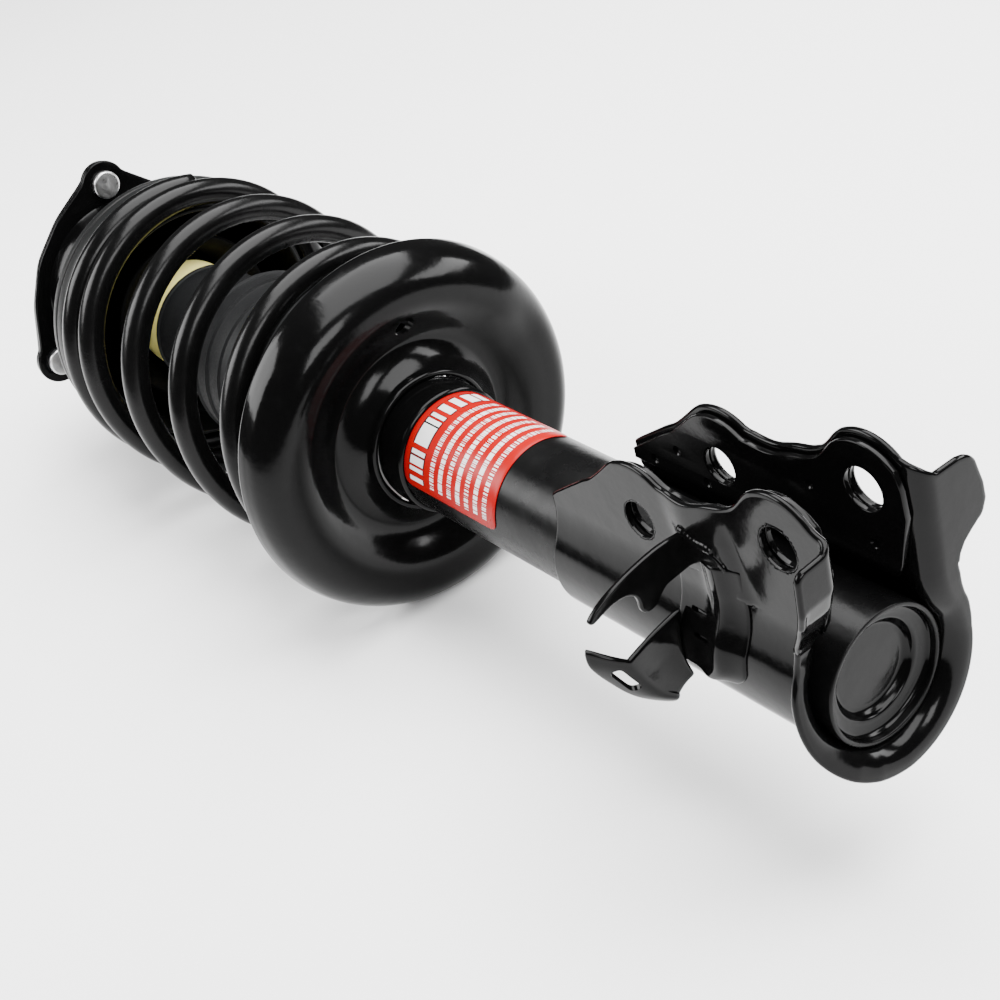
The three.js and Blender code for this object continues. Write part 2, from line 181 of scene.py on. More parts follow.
def plated(name, light, dark, roughness, grain=260.0):
    """Zinc or bare steel: cloudy tone with fine uneven roughness."""
    n = Nodes(name)
    cloud = n.noise(70.0, 5.0, 0.65)
    fine = n.noise(grain, 3.0, 0.6)
    n.set(Base_Color=n.mix(n.ramp(cloud, 0.35, 0.68, 0.0, 1.0), grey(dark), grey(light, (1.0, 1.0, 0.99))))
    n.set(Metallic=1.0, Roughness=n.ramp(fine, 0.3, 0.7, roughness * 0.75, roughness * 1.3))
    n.set(Normal=n.bump(fine, 0.12, 0.0006))
    return n.material


def rubber(name, base, roughness, tint=(1.0, 1.0, 1.0)):
    n = Nodes(name)
    cloud = n.noise(40.0, 5.0, 0.6)
    grain = n.noise(900.0, 3.0, 0.6)
    bloom = n.ramp(cloud, 0.45, 0.75, 0.0, 0.5)
    n.set(Base_Color=n.mix(bloom, grey(base, tint), grey(base * 2.1, tint)))
    n.set(Roughness=n.ramp(grain, 0.3, 0.7, roughness * 0.85, min(1.0, roughness * 1.12)))
    n.set(Normal=n.bump(grain, 0.18, 0.0004), Specular_IOR_Level=0.12)
    return n.material


def foam(name):
    """Cream microcellular urethane with fine open cells."""
    n = Nodes(name)
    cloud = n.noise(28.0, 4.0, 0.55)
    cells = n.add("TexVoronoi", {"Vector": n.coords, "Scale": 1500.0})
    cream, warm = (0.97, 0.88, 0.30, 1.0), (0.93, 0.80, 0.22, 1.0)
    n.set(Base_Color=n.mix(n.ramp(cloud, 0.35, 0.75, 0.0, 1.0), cream, warm))
    n.set(Roughness=0.75, Normal=n.bump(cells, 0.25, 0.0003), Specular_IOR_Level=0.3)
    n.set(Subsurface_Weight=0.08, Subsurface_Radius=(0.004, 0.003, 0.0015))
    return n.material


def chrome(name):
    n = Nodes(name)
    streaks = n.noise(30.0, 2.0, 0.5, n.add("Mapping", {"Vector": n.coords, "Scale": (0.2, 9.0, 9.0)}))
    n.set(Base_Color=n.mix(streaks, grey(0.62), grey(0.72)), Metallic=1.0)
    n.set(Roughness=n.ramp(streaks, 0.3, 0.7, 0.05, 0.12))
    return n.material


# The label's face along X and round the tube, in degrees.
LABEL_X = (-229.5, -168.0)
LABEL_ANGLES = (48.0, 180.0)
LABEL_BAND = -216.5               # the bold row ends here
LABEL_ROWS = 7


def label_film(name):
    """Red film with one row of bold pale blocks and rows of small pale dashes, none of them letters."""
    n = Nodes(name)
    axes = n.add("SeparateXYZ", {"Vector": n.coords})
    split = axes.node.outputs
    x = n.math("MULTIPLY", split["X"], 1000.0)
    angle = n.math("MULTIPLY", n.math("ARCTAN2", split["Z"], split["Y"]), 180.0 / math.pi)

    def between(value, low, high):
        above = n.math("GREATER_THAN", value, low)
        return n.math("MULTIPLY", above, n.math("LESS_THAN", value, high))

    def blocks(low, high, density, cut, shift):
        """Pale blocks of uneven length along a row that runs round the tube."""
        at = n.math("ADD", n.math("MULTIPLY", angle, density), shift)
        run = n.add("TexNoise", {"W": at, "Scale": 1.0, "Detail": 0.0}, noise_dimensions="1D")
        return n.math("MULTIPLY", between(x, low, high), n.math("GREATER_THAN", run, cut))

    margin = between(angle, LABEL_ANGLES[0] + 8, LABEL_ANGLES[1] - 7)
    title = blocks(LABEL_X[0] + 4.0, LABEL_BAND, 0.16, 0.44, 0.0)
    shadow = blocks(LABEL_X[0] + 3.2, LABEL_BAND + 0.8, 0.16, 0.40, 0.0)
    first, last = LABEL_BAND + 4.2, LABEL_X[1] - 4.0
    pitch = (last + 1.0 - first) / LABEL_ROWS
    row = n.math("DIVIDE", n.math("SUBTRACT", x, first), pitch)
    number = n.math("FLOOR", row)
    in_row = n.math("MULTIPLY", between(n.math("FRACT", row), 0.12, 0.58), between(x, first, last))
    heavy = n.math("MULTIPLY", n.math("FRACT", n.math("MULTIPLY", number, 0.5)), 0.18)
    threshold = n.math("SUBTRACT", 0.50, heavy)
    text = blocks(first, last, 0.62, threshold, n.math("MULTIPLY", number, 7.3))
    pale = n.math("MULTIPLY", margin, n.math("MAXIMUM", title, n.math("MULTIPLY", text, in_row)))
    dark = n.math("MULTIPLY", margin, n.math("SUBTRACT", shadow, title))
    fade = n.noise(45.0, 3.0, 0.5)
    red = n.mix(fade, (0.23, 0.0006, 0.0010, 1.0), (0.30, 0.0008, 0.0016, 1.0))
    colour = n.mix(pale, n.mix(n.math("MAXIMUM", dark, 0.0), red, grey(0.01)), grey(0.62))
    n.set(Base_Color=colour, Roughness=n.ramp(fade, 0.3, 0.7, 0.24, 0.36))
    n.set(Normal=n.bump(n.noise(130.0, 2.0), 0.06, 0.002), Specular_IOR_Level=0.12)
    return n.material


MATERIALS = {
    "gloss_black_paint": black_paint("gloss black enamel", 0.0016, 0.13, 0.8, 0.10),
    "satin_black_paint": black_paint("satin black enamel", 0.0020, 0.27, 1.2, 0.10),
    "spring_black": black_paint("black powder coat", 0.0018, 0.22, 0.9, 0.13),
    "zinc": plated("bright zinc plate", 0.72, 0.46, 0.34),
    "black_zinc": plated("black zinc plate", 0.10, 0.035, 0.36),
    "steel": plated("machined steel", 0.50, 0.36, 0.32),
    "chrome": chrome("hard chrome"),
    "black_rubber": rubber("black rubber", 0.004, 0.60),
    "grey_rubber": rubber("grey rubber", 0.0045, 0.46, (1.0, 1.03, 1.02)),
    "boot_rubber": rubber("boot rubber", 0.0058, 0.52, (0.97, 1.0, 1.05)),
    "race_plastic": rubber("race plastic", 0.005, 0.42),
    "cream_foam": foam("cream foam"),
    "red_film": label_film("red label film"),
}
DULL_BLACK = black_paint("dull black enamel", 0.0016, 0.60, 1.0, 0.05)


# ---------- geometry helpers ----------

def finish_piece(piece, body, slot, replaces=(), material=None):
    piece.data.materials.clear()
    piece.data.materials.append(material or MATERIALS[slot])
    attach(piece, body)
    if replaces:
        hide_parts(*replaces)
    return piece


def mesh_object(name, points, faces, sharp=40.0):
    """A smooth-shaded object from points in millimetres. Doubled points are joined and faces face out."""
    mesh = bpy.data.meshes.new(name)
    mesh.from_pydata([tuple(p) for p in np.asarray(points) * MM], [], faces)
    return clean_object(name, mesh, sharp)


def clean_object(name, mesh, sharp=40.0):
    work = bmesh.new()
    work.from_mesh(mesh)
    bmesh.ops.remove_doubles(work, verts=work.verts, dist=1e-6)
    bmesh.ops.dissolve_degenerate(work, dist=1e-7, edges=work.edges)
    bmesh.ops.recalc_face_normals(work, faces=work.faces)
    work.to_mesh(mesh)
    work.free()
    mesh.polygons.foreach_set("use_smooth", [True] * len(mesh.polygons))
    mesh.set_sharp_from_angle(angle=math.radians(sharp))
    piece = bpy.data.objects.new(name, mesh)
    bpy.context.scene.collection.objects.link(piece)
    return piece


def rounded(points, radius, steps=5, closed=True):
    """A 2-D outline with every corner turned into a small curve. A point may name its own radius."""
    count = len(points)
    result = []
    for i, point in enumerate(points):
        here = np.array(point[:2], float)
        own = point[2] if len(point) > 2 else radius
        if own <= 0 or (not closed and i in (0, count - 1)):
            result.append(here)
            continue
        before = np.array(points[i - 1][:2], float) - here
        after = np.array(points[(i + 1) % count][:2], float) - here
        reach_before = min(own, 0.48 * np.linalg.norm(before))
        reach_after = min(own, 0.48 * np.linalg.norm(after))
        start = here + before / np.linalg.norm(before) * reach_before
        end = here + after / np.linalg.norm(after) * reach_after
        for t in np.linspace(0.0, 1.0, steps):
            result.append((1 - t) ** 2 * start + 2 * t * (1 - t) * here + t * t * end)
    return np.array(result)


def spline(points, steps=8):
    """A smooth open line through the points (Catmull-Rom)."""
    p = np.array(points, float)
    p = np.vstack([2 * p[0] - p[1], p, 2 * p[-1] - p[-2]])
    result = []
    for i in range(1, len(p) - 2):
        for t in np.arange(steps) / steps:
            a, b, c, d = p[i - 1], p[i], p[i + 1], p[i + 2]
            result.append(0.5 * (2 * b + (c - a) * t + (2 * a - 5 * b + 4 * c - d) * t * t
                                 + (3 * b - a - 3 * c + d) * t ** 3))
    result.append(p[-2])
    return np.array(result)


def band(first, second):
    """The faces between two closed rings of point numbers."""
    count = len(first)
    return [(first[k], first[(k + 1) % count], second[(k + 1) % count], second[k]) for k in range(count)]


def tube_faces(ring_count, sides):
    """The side faces of a tube whose rings of points follow each other."""
    rings = [range(i * sides, (i + 1) * sides) for i in range(ring_count)]
    return [face for first, second in zip(rings, rings[1:]) for face in band(first, second)]


def turned_faces(count, steps, closed=True):
    """The faces of a profile of this many points turned in this many steps."""
    faces = []
    for k in range(steps):
        following = (k + 1) % steps
        ring = band(range(k * count, (k + 1) * count), range(following * count, (following + 1) * count))
        faces += ring if closed else ring[:-1]
    return faces


def turned(name, profile, steps=144, shape=None, closed=True, sharp=40.0):
    """Turns a profile of (x, radius) about the X axis. shape(x, r, angle) may move points."""
    profile = np.asarray(profile, float)
    points = []
    for k in range(steps):
        angle = 2 * math.pi * k / steps
        for x, r in profile:
            if shape and r > 0:
                x, r = shape(x, r, angle)
            points.append((x, r * math.cos(angle), r * math.sin(angle)))
    return mesh_object(name, points, turned_faces(len(profile), steps, closed), sharp)


def thick(line, sheet):
    """A closed profile: an open line given a thickness to its left, with round ends."""
    line = np.asarray(line, float)
    along = np.gradient(line, axis=0)
    along /= np.linalg.norm(along, axis=1)[:, None]
    left = np.stack([-along[:, 1], along[:, 0]], 1) * sheet / 2
    middle = line + left

    def end(centre, direction, side):
        angles = np.linspace(0.0, math.pi, 7)[1:-1]
        return [centre + side * math.cos(a) + direction * sheet / 2 * math.sin(a) for a in angles]

    first = end(middle[0], -along[0], left[0])
    last = end(middle[-1], along[-1], -left[-1])
    return np.vstack([middle - left, last, (middle + left)[::-1], first])


def plate(name, loops, thickness, bevel, matrix, sharp=40.0):
    """A flat plate with holes and rounded edges: loops are closed 2-D outlines, matrix places it."""
    curve = bpy.data.curves.new(name, "CURVE")
    curve.dimensions = "2D"
    curve.fill_mode = "BOTH"
    curve.extrude = (thickness / 2 - bevel) * MM
    curve.bevel_depth = bevel * MM
    curve.bevel_resolution = 3
    curve.offset = -bevel * MM
    for loop in loops:
        line = curve.splines.new("POLY")
        line.points.add(len(loop) - 1)
        for point, (a, b) in zip(line.points, loop):
            point.co = (a * MM, b * MM, 0.0, 1.0)
        line.use_cyclic_u = True
    holder = bpy.data.objects.new(name + "_curve", curve)
    bpy.context.scene.collection.objects.link(holder)
    bpy.context.view_layer.update()
    mesh = bpy.data.meshes.new_from_object(holder.evaluated_get(bpy.context.evaluated_depsgraph_get()))
    bpy.data.objects.remove(holder)
    mesh.transform(matrix)
    mesh.name = name
    return clean_object(name, mesh, sharp)


def circle(centre_a, centre_b, radius, steps=48, start=0.0, end=360.0):
    angles = np.radians(np.linspace(start, end, steps, endpoint=abs(end - start) < 360))
    return np.stack([centre_a + radius * np.cos(angles), centre_b + radius * np.sin(angles)], 1)


def across_y(y):
    """Places a plate drawn in X and Z at this Y."""
    return Matrix(((1, 0, 0, 0), (0, 0, -1, y * MM), (0, 1, 0, 0), (0, 0, 0, 1)))


def across_x(x):
    """Places a plate drawn in Y and Z at this X."""
    return Matrix(((0, 0, 1, x * MM), (1, 0, 0, 0), (0, 1, 0, 0), (0, 0, 0, 1)))


def cut(piece, *cutters):
    """Cuts the second objects out of the first and removes them."""
    for cutter in cutters:
        change = piece.modifiers.new("cut", "BOOLEAN")
        change.operation = "DIFFERENCE"
        change.solver = "EXACT"
        change.object = cutter
        bpy.context.view_layer.update()
        cut_mesh = bpy.data.meshes.new_from_object(
            piece.evaluated_get(bpy.context.evaluated_depsgraph_get()))
        piece.modifiers.clear()
        piece.data = cut_mesh
        bpy.data.objects.remove(cutter)
    piece.data.polygons.foreach_set("use_smooth", [True] * len(piece.data.polygons))
    piece.data.set_sharp_from_angle(angle=math.radians(40))
    return piece


def hole_cutter(radius, half_length, faces_at, flare=0.45, steps=56):
    """A round cutter along its own X that widens where it passes each face, so the hole's rims are soft."""
    line = [(-half_length, 0.0), (-half_length, radius)]
    for at, side in faces_at:
        line += [(at - side * flare * 1.6, radius), (at, radius + flare)]
    line += [(half_length, radius), (half_length, 0.0)]
    return line


def join(name, pieces):
    """One object from several, each keeping its own faces."""
    work = bmesh.new()
    for piece in pieces:
        work.from_mesh(piece.data)
        bpy.data.objects.remove(piece)
    mesh = bpy.data.meshes.new(name)
    work.to_mesh(mesh)
    work.free()
    mesh.polygons.foreach_set("use_smooth", [True] * len(mesh.polygons))
    mesh.set_sharp_from_angle(angle=math.radians(40))
    whole = bpy.data.objects.new(name, mesh)
    bpy.context.scene.collection.objects.link(whole)
    return whole


def bead(name, path, radius, ripple, seed):
    """A weld bead: a lumpy half-sunk cord along a path of points."""
    path = np.asarray(path, float)
    sides = 12
    points = []
    along = np.gradient(path, axis=0)
    for i, (point, way) in enumerate(zip(path, along)):
        way = Vector(way).normalized()
        side = way.orthogonal().normalized()
        up = way.cross(side)
        taper = min(1.0, 0.35 + 0.3 * min(i, len(path) - 1 - i))
        for k in range(sides):
            angle = 2 * math.pi * k / sides
            lump = noise.noise(Vector(point) * 0.35 + Vector((seed, 0.0, k * 0.03)))
            r = radius * taper * (1 + ripple * lump + 0.035 * math.sin(i * 1.9))
            points.append(Vector(point) + (side * math.cos(angle) + up * math.sin(angle)) * r)
    faces = tube_faces(len(path), sides)
    faces.append(tuple(range(sides)))
    faces.append(tuple((len(path) - 1) * sides + k for k in range(sides)))
    return mesh_object(name, [tuple(p) for p in points], faces, 60.0)


# ---------- damper tube ----------

def make_tube():
    inner = TUBE_R - TUBE_WALL
    profile = rounded([(TUBE_TOP_X, inner), (TUBE_TOP_X, TUBE_R),
                       (TUBE_LIP_X, TUBE_R), (TUBE_LIP_X, inner)], 0.9)
    finish_piece(turned("tube_shell", profile), "strut_body", "satin_black_paint", ["reservoir_tube"])

    fit = inner - 0.2
    face = spline([(0, 0), (0, 8), (0, 13), (0.2, 15.6), (1.6, 17.0), (3.2, 18.0), (3.6, 20.0),
                   (4.2, fit - 1), (5.4, fit)], 6)
    cap = np.vstack([face, [(2.0, fit), (-3.0, fit - 4), (-3.0, 0)]])
    finish_piece(turned("end_cap", cap, closed=False), "strut_body", "gloss_black_paint", ["tube_base_cap"])

    skirt = TUBE_R + 0.3
    top = rounded([(-297, skirt), (-297, skirt + 1.5), (-307, skirt + 1.5, 2.0), (-307, ROD_R + 0.8),
                   (-305.3, ROD_R + 0.8), (-305.3, skirt)], 0.5)
    finish_piece(turned("tube_cap", top), "strut_body", "gloss_black_paint", ["tube_top_cap"])


# ---------- knuckle bracket ----------

def ear_edge():
    """The ear's top edge as a line of (x, z), from the wrap's edge to the lower end."""
    upper = circle(*UPPER_HOLE[:2], 21.3, 26, 122, 52)
    lower = circle(*LOWER_HOLE[:2], 19.2, 26, 128, 40)
    valley = spline([(-62.5, 57.4), (-57.5, 56.7), (-50, 56.9), (-41, 59.8), (-33, 61.6), (-26.5, 64.6)], 5)
    start = [(-129.0, 29.2), (-128.0, 30.6), (-108, 43.4), (-103, 46.0), (-98, 50.0)]
    end = [(8.4, 68.6), (14.0, 67.2)]
    edge = np.vstack([start, upper, valley, lower, end])
    return edge[np.argsort(edge[:, 0], kind="stable")]


EAR_EDGE = ear_edge()


def ear_top(x):
    reach = np.linspace(-2.2, 2.2, 9)
    return float(np.mean(np.interp(x + reach, EAR_EDGE[:, 0], EAR_EDGE[:, 1])))


def wrap_line():
    """Middle of the wrap's section in Y and Z: the two base points at the ears' feet, and the whole line
    round from one to the other.
    """
    base_angle = math.degrees(math.acos(EAR_MID_Y / WRAP_MID_R))
    base_z = WRAP_MID_R * math.sin(math.radians(base_angle))
    blend_up, blend_round = 9.0, 24.0
    angles = np.linspace(180 - base_angle + blend_round, 360 + base_angle - blend_round, 96)
    arc = circle(0, 0, WRAP_MID_R, 96, angles[0], angles[-1])
    near_start = np.array([-EAR_MID_Y, base_z + blend_up])
    far_start = np.array([EAR_MID_Y, base_z + blend_up])
    corner = np.array([EAR_MID_Y, base_z])
    t = np.linspace(0, 1, 14)[1:-1, None]
    near_bend = (1 - t) ** 2 * near_start + 2 * t * (1 - t) * corner * [-1, 1] + t * t * arc[0]
    far_bend = (1 - t) ** 2 * arc[-1] + 2 * t * (1 - t) * corner + t * t * far_start
    return near_start, far_start, np.vstack([near_start, near_bend, arc, far_bend, far_start])


# How far the rim stands out from the sheet, and where it stands along X, round the section.
# An ear's entries go by height, the wrap's by angle in degrees.
NEAR_EAR_RIM = [(62, 14.4), (50, 14.8), (44, 14.2), (38, 12.6), (32, 10.8), (27, 9.6)]
NEAR_EAR_FACE = [(66, 14.2), (50, 13.8), (44, 12.0), (38, 9.0), (31, 4.5), (27, 3.0)]
FAR_EAR_RIM = [(27, 12), (30, 13), (33, 15.5), (37, 21.5), (40, 25), (44, 26.8), (50, 26.4), (59.6, 23.8)]
FAR_EAR_FACE = [(27, 12), (60, 12)]
WRAP_RIM = [(118, 9.6), (144, 8.0), (180, 7.8), (360, 7.8), (372, 8.6), (385, 9.8), (405, 11.5)]
WRAP_FACE = [(118, 2.5), (140, 0.6), (156, 0.8), (170, 2.4), (186, 4.2), (202, 6.2), (216, 8.6),
             (230, 10.9), (246, 12.3), (270, 12.9), (312, 12.3), (360, 11.6), (405, 12.0)]
# Height of an ear's top edge out along its rim.
NEAR_RIM_TOP = [(0, 66.6), (2, 65.8), (5, 65.2), (12, 64.7), (13.6, 63.9), (14.6, 62.0)]
FAR_RIM_TOP = [(0, 66.4), (1.5, 65.6), (4, 64.4), (8, 63.9), (17, 63.8), (20, 63.0), (22.5, 61.4),
               (23.8, 59.6)]
RIM_BENDS = {"near": 3.6, "wrap": 6.5, "far": 6.5}
RIM_COLUMNS = 34


def lookup(table, key):
    rows = np.array(sorted(table), float)
    return float(np.interp(key, rows[:, 0], rows[:, 1]))


def ear_dent(x, z):
    """How far the ear's sheet stands out, in millimetres: a low ridge between the two flat bolt pads."""
    along = math.exp(-((x + 44.0 + 0.25 * (z - 45.0)) / 13.0) ** 4)
    return 2.2 * along * min(1.0, max(0.0, (68.0 - z) / 20.0))


def make_bracket_sheet():
    """The pressed sheet as one grid: rows round the section, columns along X and out over the rim."""
    near_start, far_start, section = wrap_line()
    foot = near_start[1]
    ear_rows = 44
    rows = [("near", share) for share in np.linspace(1, 0, ear_rows, endpoint=False)]
    rows += [("wrap", i) for i in range(len(section))]
    rows += [("far", share) for share in np.linspace(0, 1, ear_rows + 1)[1:]]

    flat = 1 - (1 - np.linspace(0, 1, 190)) ** 1.1
    over = np.linspace(0, 1, RIM_COLUMNS)[1:]
    grid = np.zeros((len(rows), len(flat) + len(over), 3))
    for j, (kind, at) in enumerate(rows):
        if kind == "wrap":
            here = section[at]
            step = section[min(at + 1, len(section) - 1)] - section[max(at - 1, 0)]
            outward = np.array([step[1], -step[0]]) / np.linalg.norm(step)
            angle = math.degrees(math.atan2(here[1], here[0])) % 360
            angle = angle + 360 if angle < 100 else angle
            rim, face = lookup(WRAP_RIM, angle), lookup(WRAP_FACE, angle)
        else:
            side = -1 if kind == "near" else 1
            rim_top = NEAR_RIM_TOP if kind == "near" else FAR_RIM_TOP
            outward = np.array([side, 0.0])
            end_z = foot + at * (rim_top[-1][1] - foot)
            rim = lookup(NEAR_EAR_RIM if kind == "near" else FAR_EAR_RIM, end_z)
            face = lookup(NEAR_EAR_FACE if kind == "near" else FAR_EAR_FACE, end_z)
        bend = RIM_BENDS[kind]
        if kind == "near":
            bend += 2.9 * max(0.0, 1 - at / 0.25)
        elif kind == "wrap" and angle < 180:
            bend = max(4.5, bend - 0.02 * (180 - angle))
        end_x = face - bend
        quarter = bend * math.pi / 2
        for i, share in enumerate(flat):
            x = WRAP_TOP_X + share * (end_x - WRAP_TOP_X)
            if kind == "wrap":
                grid[j, i] = (x, *here)
            else:
                z = foot + at * (ear_top(x) - foot)
                bulge = ear_dent(x, z) if kind == "near" else 0.0
                grid[j, i] = (x, side * (EAR_MID_Y + bulge), z)
        last = grid[j, len(flat) - 1].copy()
        for i, share in enumerate(over):
            run = share * (quarter + rim - bend)
            if run < quarter:
                turn = run / bend
                dx, out = bend * math.sin(turn), bend * (1 - math.cos(turn))
            else:
                dx, out = bend, bend + run - quarter
            point = last + [dx, outward[0] * out, outward[1] * out]
            if kind != "wrap":
                at_bend = ear_top(end_x)
                edge = lookup(rim_top, out)
                settle = min(1.0, run / quarter)
                point[2] = foot + at * (at_bend + (edge - at_bend) * settle - foot)
            grid[j, len(flat) + i] = point
    return grid


def sheet_from_grid(name, grid, thickness, rim_steps=5):
    """A closed sheet round a grid of middle points, with round edges on all four sides."""
    du = np.gradient(grid, axis=1)
    dv = np.gradient(grid, axis=0)
    normal = np.cross(du, dv)
    length = np.linalg.norm(normal, axis=2, keepdims=True)
    normal = normal / np.maximum(length, 1e-9)
    half = thickness / 2
    rows, columns = grid.shape[:2]
    border = [(0, i) for i in range(columns)] + [(j, columns - 1) for j in range(1, rows)]
    border += [(rows - 1, i) for i in range(columns - 2, -1, -1)] + [(j, 0) for j in range(rows - 2, 0, -1)]
    points = list((grid + normal * half).reshape(-1, 3)) + list((grid - normal * half).reshape(-1, 3))
    faces = []
    back = rows * columns
    for j in range(rows - 1):
        for i in range(columns - 1):
            a, b = j * columns + i, j * columns + i + 1
            c, d = b + columns, a + columns
            faces.append((a, b, c, d))
            faces.append((back + d, back + c, back + b, back + a))
    rings = [[j * columns + i for j, i in border]]
    for step in range(1, rim_steps):
        angle = math.pi * step / rim_steps
        ring = []
        for k, (j, i) in enumerate(border):
            before = grid[border[k - 1]]
            after = grid[border[(k + 1) % len(border)]]
            out = np.cross(after - before, normal[j, i])
            out /= max(np.linalg.norm(out), 1e-9)
            inward = grid[min(max(j, 1), rows - 2), min(max(i, 1), columns - 2)] - grid[j, i]
            if np.dot(out, inward) > 0:
                out = -out
            ring.append(len(points))
            across = normal[j, i] * half * math.cos(angle)
            points.append(grid[j, i] + across + out * half * 0.8 * math.sin(angle))
        rings.append(ring)
    rings.append([back + j * columns + i for j, i in border])
    for ring, following in zip(rings, rings[1:]):
        faces += band(ring, following)
    return mesh_object(name, points, faces, 50.0)


def bolt_cutter(name, hole, faces_at):
    x, z, radius = hole
    cutter = turned(name, hole_cutter(radius, 32.0, faces_at), 56, closed=False)
    cutter.data.transform(Matrix.Translation((x * MM, 0, z * MM)) @ Matrix.Rotation(math.pi / 2, 4, "Z"))
    return cutter


FAR_DIMPLES = [(-114, 30), (-100, 38.5), (-86, 30), (-33, 50), (-6, 37)]
DIMPLE_BALL_R = 2.6
DIMPLE_DEPTH = 1.0


def dimple_cutter(x, z):
    """A ball that presses a shallow dimple into the inner face of the far plate."""
    turns = np.linspace(math.pi, 0, 12)
    ball = turned("dimple", [(DIMPLE_BALL_R * math.cos(t), DIMPLE_BALL_R * math.sin(t)) for t in turns], 24,
                  closed=False)
    centre_y = EAR_PLATE_Y[0] + DIMPLE_DEPTH - DIMPLE_BALL_R
    ball.data.transform(Matrix.Translation((x * MM, centre_y * MM, z * MM)))
    return ball


def make_bracket():
    sheet = sheet_from_grid("bracket_sheet", make_bracket_sheet(), WRAP_SHEET)
    outer = EAR_MID_Y + WRAP_SHEET / 2
    inner = EAR_MID_Y - WRAP_SHEET / 2
    rims = [(-outer, -1), (-inner, 1), (inner, -1), (outer, 1)]
    cut(sheet, bolt_cutter("cut_low", LOWER_HOLE, rims), bolt_cutter("cut_high", UPPER_HOLE, rims))
    finish_piece(sheet, "strut_body", "gloss_black_paint", ["knuckle_bracket"])

    lower_edge = TUBE_R + 0.5
    inset = 1.4
    stations = np.concatenate([np.linspace(-126.4, -1, 150), np.linspace(0, 6.5, 14)])
    top = [(x, ear_top(x) - inset) for x in stations]
    end = [(8.6, 62.0), (9.4, 52.0), (4.6, 32.0), (1.5, lower_edge)]
    shape = np.vstack([[(-126.4, lower_edge)], top, end])
    holes = [circle(x, z, radius + 0.15, 56)[::-1] for x, z, radius in (LOWER_HOLE, UPPER_HOLE)]
    middle = sum(EAR_PLATE_Y) / 2
    for name, side in (("near", -1), ("far", 1)):
        ear_plate = plate(f"plate_{name}", [shape, *holes], EAR_PLATE_Y[1] - EAR_PLATE_Y[0], 0.5,
                          across_y(side * middle))
        if name == "far":
            cut(ear_plate, *[dimple_cutter(x, z) for x, z in FAR_DIMPLES])
        finish_piece(ear_plate, "strut_body", "gloss_black_paint", [f"ear_plate_{name}"])


# ---------- hose and wire brackets ----------

def make_hose_hook():
    face = -EAR_MID_Y - WRAP_SHEET / 2
    arm = spline([(face, 46.5), (-26, 46.8), (-31, 47.2), (-36, 47.0), (-42, 46.2), (-49, 44.8),
                  (-56, 42.8), (-61, 40.8), (-65.0, 38.4), (-66.4, 36.6), (-64.8, 35.6), (-61, 36.6),
                  (-56, 37.8), (-51, 37.6), (-47.5, 35.6), (-46.0, 32.6), (-45.6, 28.4), (-43.4, 26.6),
                  (-39.5, 27.0), (-37.0, 29.4), (-34.0, 31.6), (-30.0, 32.2), (-26.0, 32.6),
                  (face, 33.0)], 5)
    hook = plate("hook_arm", [arm], 2.4, 0.8, across_x(-53.0))
    root = rounded([(-55, 32), (-36, 35.5), (-32, 39.5), (-37, 43.5), (-55, 46.5)], 3.0)
    foot = plate("hook_root", [root], 2.4, 0.9, across_y(face - 1.6))
    weld = bead("hook_weld", [(-55 + t * 17, face - 1.2, 47.0 - t * 3.0 + 0.4 * math.sin(t * 9))
                              for t in np.linspace(0, 1, 40)], 2.1, 0.12, 3.0)
    finish_piece(join("hose_hook", [hook, foot, weld]), "strut_body", "gloss_black_paint", ["hose_bracket"])


def saddle_line(start_z, end_angle, steps):
    """Runs down the near ear from this height and on round the wrap to this angle, with outward normals."""
    near_start, _, section = wrap_line()
    line = [np.array([-EAR_MID_Y, z]) for z in np.linspace(start_z, near_start[1], 8)[:-1]]
    for point in section:
        angle = math.degrees(math.atan2(point[1], point[0])) % 360
        if 90 < angle <= end_angle:
            line.append(point)
    line = np.array(line)
    run = np.concatenate([[0], np.cumsum(np.linalg.norm(np.diff(line, axis=0), axis=1))])
    even = np.linspace(0, run[-1], steps)
    line = np.stack([np.interp(even, run, line[:, k]) for k in (0, 1)], 1)
    along = np.gradient(line, axis=0)
    outward = np.stack([along[:, 1], -along[:, 0]], 1) / np.linalg.norm(along, axis=1)[:, None]
    return line, outward


def make_saddle():
    """The part of the wire bracket that lies on the knuckle bracket, with its two lanced slots."""
    sheet = 2.3
    line, outward = saddle_line(39.0, 187.5, 70)
    stand_off = WRAP_SHEET / 2 + sheet / 2 + 0.1
    grid = []
    for share, (point, out) in zip(np.linspace(0, 1, 70), zip(line, outward)):
        right = -27.5 - 5.0 * max(0.0, (share - 0.86) / 0.14) ** 2 - 3.0 * max(0.0, 0.5 - share)
        row = []
        for x in np.linspace(-57.8, right, 44):
            fold = min(1.0, max(0.0, (x - right + 9.0) / 9.0))
            rise = stand_off + 1.9 * math.exp(-((x - right + 10.0) / 4.6) ** 2) - 1.4 * fold ** 1.5
            row.append((x, *(point + out * rise)))
        grid.append(row)
    saddle = sheet_from_grid("saddle", np.array(grid), sheet)
    for slot_angle, x in ((146.5, -49.0), (162.5, -46.0)):
        turn = math.radians(slot_angle)
        slot = rounded([(-3.6, -0.9), (3.6, -0.9), (3.6, 0.9), (-3.6, 0.9)], 0.85)
        tool = plate("slot_cut", [slot], 5.0, 0.1, Matrix.Identity(4))
        up = Vector((0.0, math.cos(turn), math.sin(turn)))
        side = up.cross(Vector((1.0, 0.0, 0.0)))
        centre = Vector((x, 0, 0)) + up * 31.5
        turn = Matrix((Vector((1, 0, 0)), side, up)).transposed().to_4x4()
        tool.data.transform(Matrix.Translation(centre * MM) @ turn)
        cut(saddle, tool)
    return saddle


